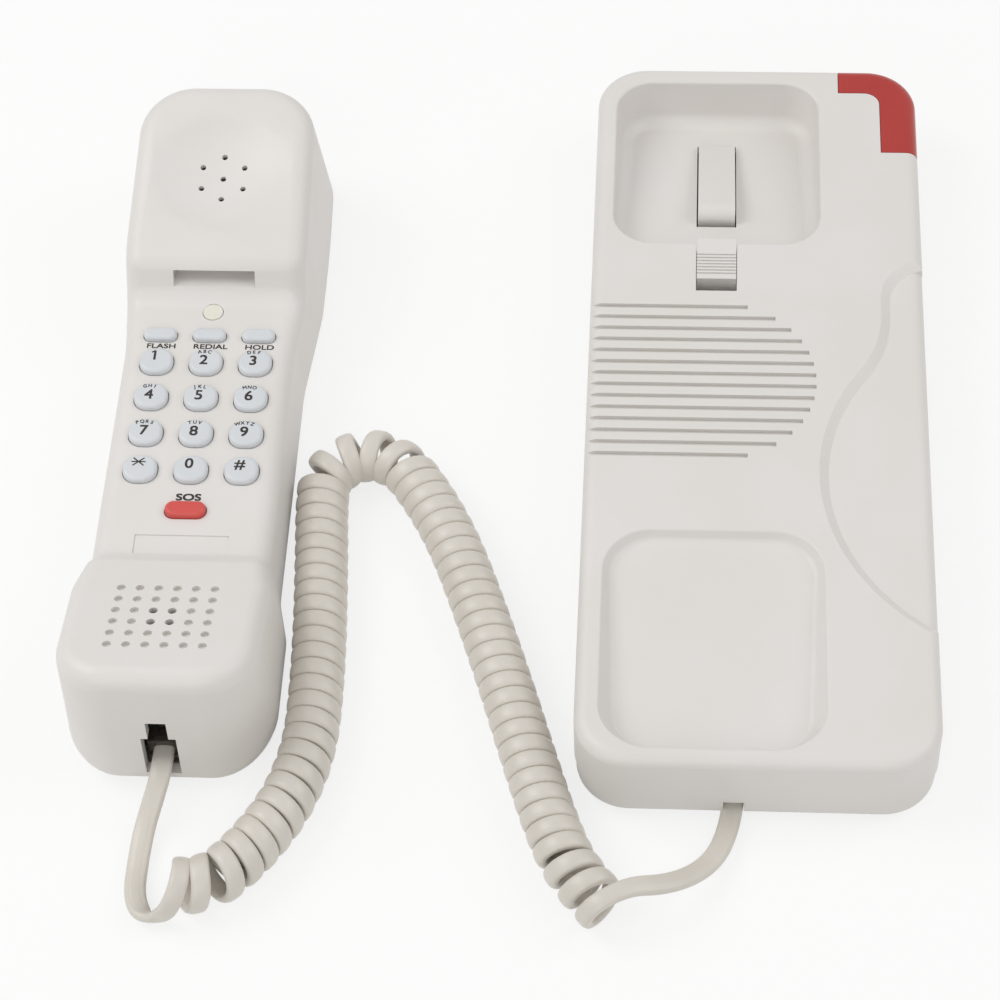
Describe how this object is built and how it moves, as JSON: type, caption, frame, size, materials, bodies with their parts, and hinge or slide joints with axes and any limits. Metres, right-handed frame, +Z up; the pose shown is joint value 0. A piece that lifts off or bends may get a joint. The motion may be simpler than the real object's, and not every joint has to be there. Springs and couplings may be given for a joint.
{
  "type": "corded landline phone",
  "caption": "Corded landline phone: slim cradle base with hook lever and message lamp, and a handset with its own keypad lying beside it on a curly cord.",
  "frame": {"origin": "middle of the base on the desk plane, under its feet", "axes": "+Y along the base towards the ear cup and message lamp, +X to the right of a person facing the keypad, +Z up off the desk"},
  "size_m": [0.2042, 0.2547, 0.0442],
  "materials": {
    "housing_plastic": "fine matt moulding",
    "key_plastic": "satin",
    "red_key_plastic": "satin",
    "red_lens": "translucent, polished",
    "red_led": "clear, polished",
    "cream_window": "milky, satin",
    "circuit_board": "resist coated",
    "black_plastic": "satin",
    "clear_plastic": "clear, polished",
    "plated_steel": "plated",
    "foot_rubber": "matt",
    "membrane_silicone": "matt",
    "cord_jacket": "soft satin jacket"
  },
  "bodies": {
    "base": {"base_top_cover": "housing_plastic", "base_bottom_cover": "housing_plastic", "rubber_feet": "foot_rubber", "base_screws": "plated_steel", "message_lamp_lens": "red_lens", "message_lamp_led": "red_led", "base_circuit_board": "circuit_board", "ringer_buzzer": "black_plastic", "hook_lever_pin": "plated_steel", "hook_spring": "plated_steel", "hook_switch": "black_plastic", "line_jack": "black_plastic", "base_cord_jack": "black_plastic", "base_cord_plug": "clear_plastic", "curly_cord": "cord_jacket", "cord_tail_base": "cord_jacket"},
    "hook": {"hook_lever": "housing_plastic"},
    "hang_tab": {"hang_tab": "housing_plastic"},
    "handset": {"handset_front_shell": "housing_plastic", "handset_back_shell": "housing_plastic", "handset_screws": "plated_steel", "keypad_board": "circuit_board", "keypad_membrane": "membrane_silicone", "indicator_window": "cream_window", "receiver_capsule": "black_plastic", "receiver_gasket": "foot_rubber", "microphone_capsule": "plated_steel", "microphone_boot": "foot_rubber", "handset_cord_jack": "black_plastic", "handset_cord_plug": "clear_plastic", "cord_tail_handset": "cord_jacket"},
    "key_flash": {"key_flash": "key_plastic"},
    "key_redial": {"key_redial": "key_plastic"},
    "key_hold": {"key_hold": "key_plastic"},
    "key_one": {"key_one": "key_plastic"},
    "key_two": {"key_two": "key_plastic"},
    "key_three": {"key_three": "key_plastic"},
    "key_four": {"key_four": "key_plastic"},
    "key_five": {"key_five": "key_plastic"},
    "key_six": {"key_six": "key_plastic"},
    "key_seven": {"key_seven": "key_plastic"},
    "key_eight": {"key_eight": "key_plastic"},
    "key_nine": {"key_nine": "key_plastic"},
    "key_star": {"key_star": "key_plastic"},
    "key_zero": {"key_zero": "key_plastic"},
    "key_hash": {"key_hash": "key_plastic"},
    "key_call": {"key_call": "red_key_plastic"}
  },
  "joints": [
    {"name": "hook_lever_pivot", "type": "hinge", "parent": "base", "child": "hook", "pos_m": [-0.0103, 0.097, 0.00605], "axis": [1, 0, 0], "range_deg": [0, 6.5], "stiffness_Nm_per_rad": 0.08, "springref_deg": -6.88, "deforming": ["hook_spring"]},
    {"name": "hang_tab_slide", "type": "slide", "parent": "base", "child": "hang_tab", "axis": [0, 1, 0], "range_m": [-0.0033, 0]},
    {"name": "handset_lift", "type": "slide", "parent": "base", "child": "handset", "axis": [0, 0, 1], "range_m": [0, 0.15]},
    {"name": "key_flash_press", "type": "slide", "parent": "handset", "child": "key_flash", "axis": [0, 0, 1], "range_m": [-0.0012, 0], "stiffness_N_per_m": 250, "springref_m": 0.001},
    {"name": "key_redial_press", "type": "slide", "parent": "handset", "child": "key_redial", "axis": [0, 0, 1], "range_m": [-0.0012, 0], "stiffness_N_per_m": 250, "springref_m": 0.001},
    {"name": "key_hold_press", "type": "slide", "parent": "handset", "child": "key_hold", "axis": [0, 0, 1], "range_m": [-0.0012, 0], "stiffness_N_per_m": 250, "springref_m": 0.001},
    {"name": "key_one_press", "type": "slide", "parent": "handset", "child": "key_one", "axis": [0, 0, 1], "range_m": [-0.0012, 0], "stiffness_N_per_m": 250, "springref_m": 0.001},
    {"name": "key_two_press", "type": "slide", "parent": "handset", "child": "key_two", "axis": [0, 0, 1], "range_m": [-0.0012, 0], "stiffness_N_per_m": 250, "springref_m": 0.001},
    {"name": "key_three_press", "type": "slide", "parent": "handset", "child": "key_three", "axis": [0, 0, 1], "range_m": [-0.0012, 0], "stiffness_N_per_m": 250, "springref_m": 0.001},
    {"name": "key_four_press", "type": "slide", "parent": "handset", "child": "key_four", "axis": [0, 0, 1], "range_m": [-0.0012, 0], "stiffness_N_per_m": 250, "springref_m": 0.001},
    {"name": "key_five_press", "type": "slide", "parent": "handset", "child": "key_five", "axis": [0, 0, 1], "range_m": [-0.0012, 0], "stiffness_N_per_m": 250, "springref_m": 0.001},
    {"name": "key_six_press", "type": "slide", "parent": "handset", "child": "key_six", "axis": [0, 0, 1], "range_m": [-0.0012, 0], "stiffness_N_per_m": 250, "springref_m": 0.001},
    {"name": "key_seven_press", "type": "slide", "parent": "handset", "child": "key_seven", "axis": [0, 0, 1], "range_m": [-0.0012, 0], "stiffness_N_per_m": 250, "springref_m": 0.001},
    {"name": "key_eight_press", "type": "slide", "parent": "handset", "child": "key_eight", "axis": [0, 0, 1], "range_m": [-0.0012, 0], "stiffness_N_per_m": 250, "springref_m": 0.001},
    {"name": "key_nine_press", "type": "slide", "parent": "handset", "child": "key_nine", "axis": [0, 0, 1], "range_m": [-0.0012, 0], "stiffness_N_per_m": 250, "springref_m": 0.001},
    {"name": "key_star_press", "type": "slide", "parent": "handset", "child": "key_star", "axis": [0, 0, 1], "range_m": [-0.0012, 0], "stiffness_N_per_m": 250, "springref_m": 0.001},
    {"name": "key_zero_press", "type": "slide", "parent": "handset", "child": "key_zero", "axis": [0, 0, 1], "range_m": [-0.0012, 0], "stiffness_N_per_m": 250, "springref_m": 0.001},
    {"name": "key_hash_press", "type": "slide", "parent": "handset", "child": "key_hash", "axis": [0, 0, 1], "range_m": [-0.0012, 0], "stiffness_N_per_m": 250, "springref_m": 0.001},
    {"name": "key_call_press", "type": "slide", "parent": "handset", "child": "key_call", "axis": [0, 0, 1], "range_m": [-0.0012, 0], "stiffness_N_per_m": 250, "springref_m": 0.001}
  ]
}
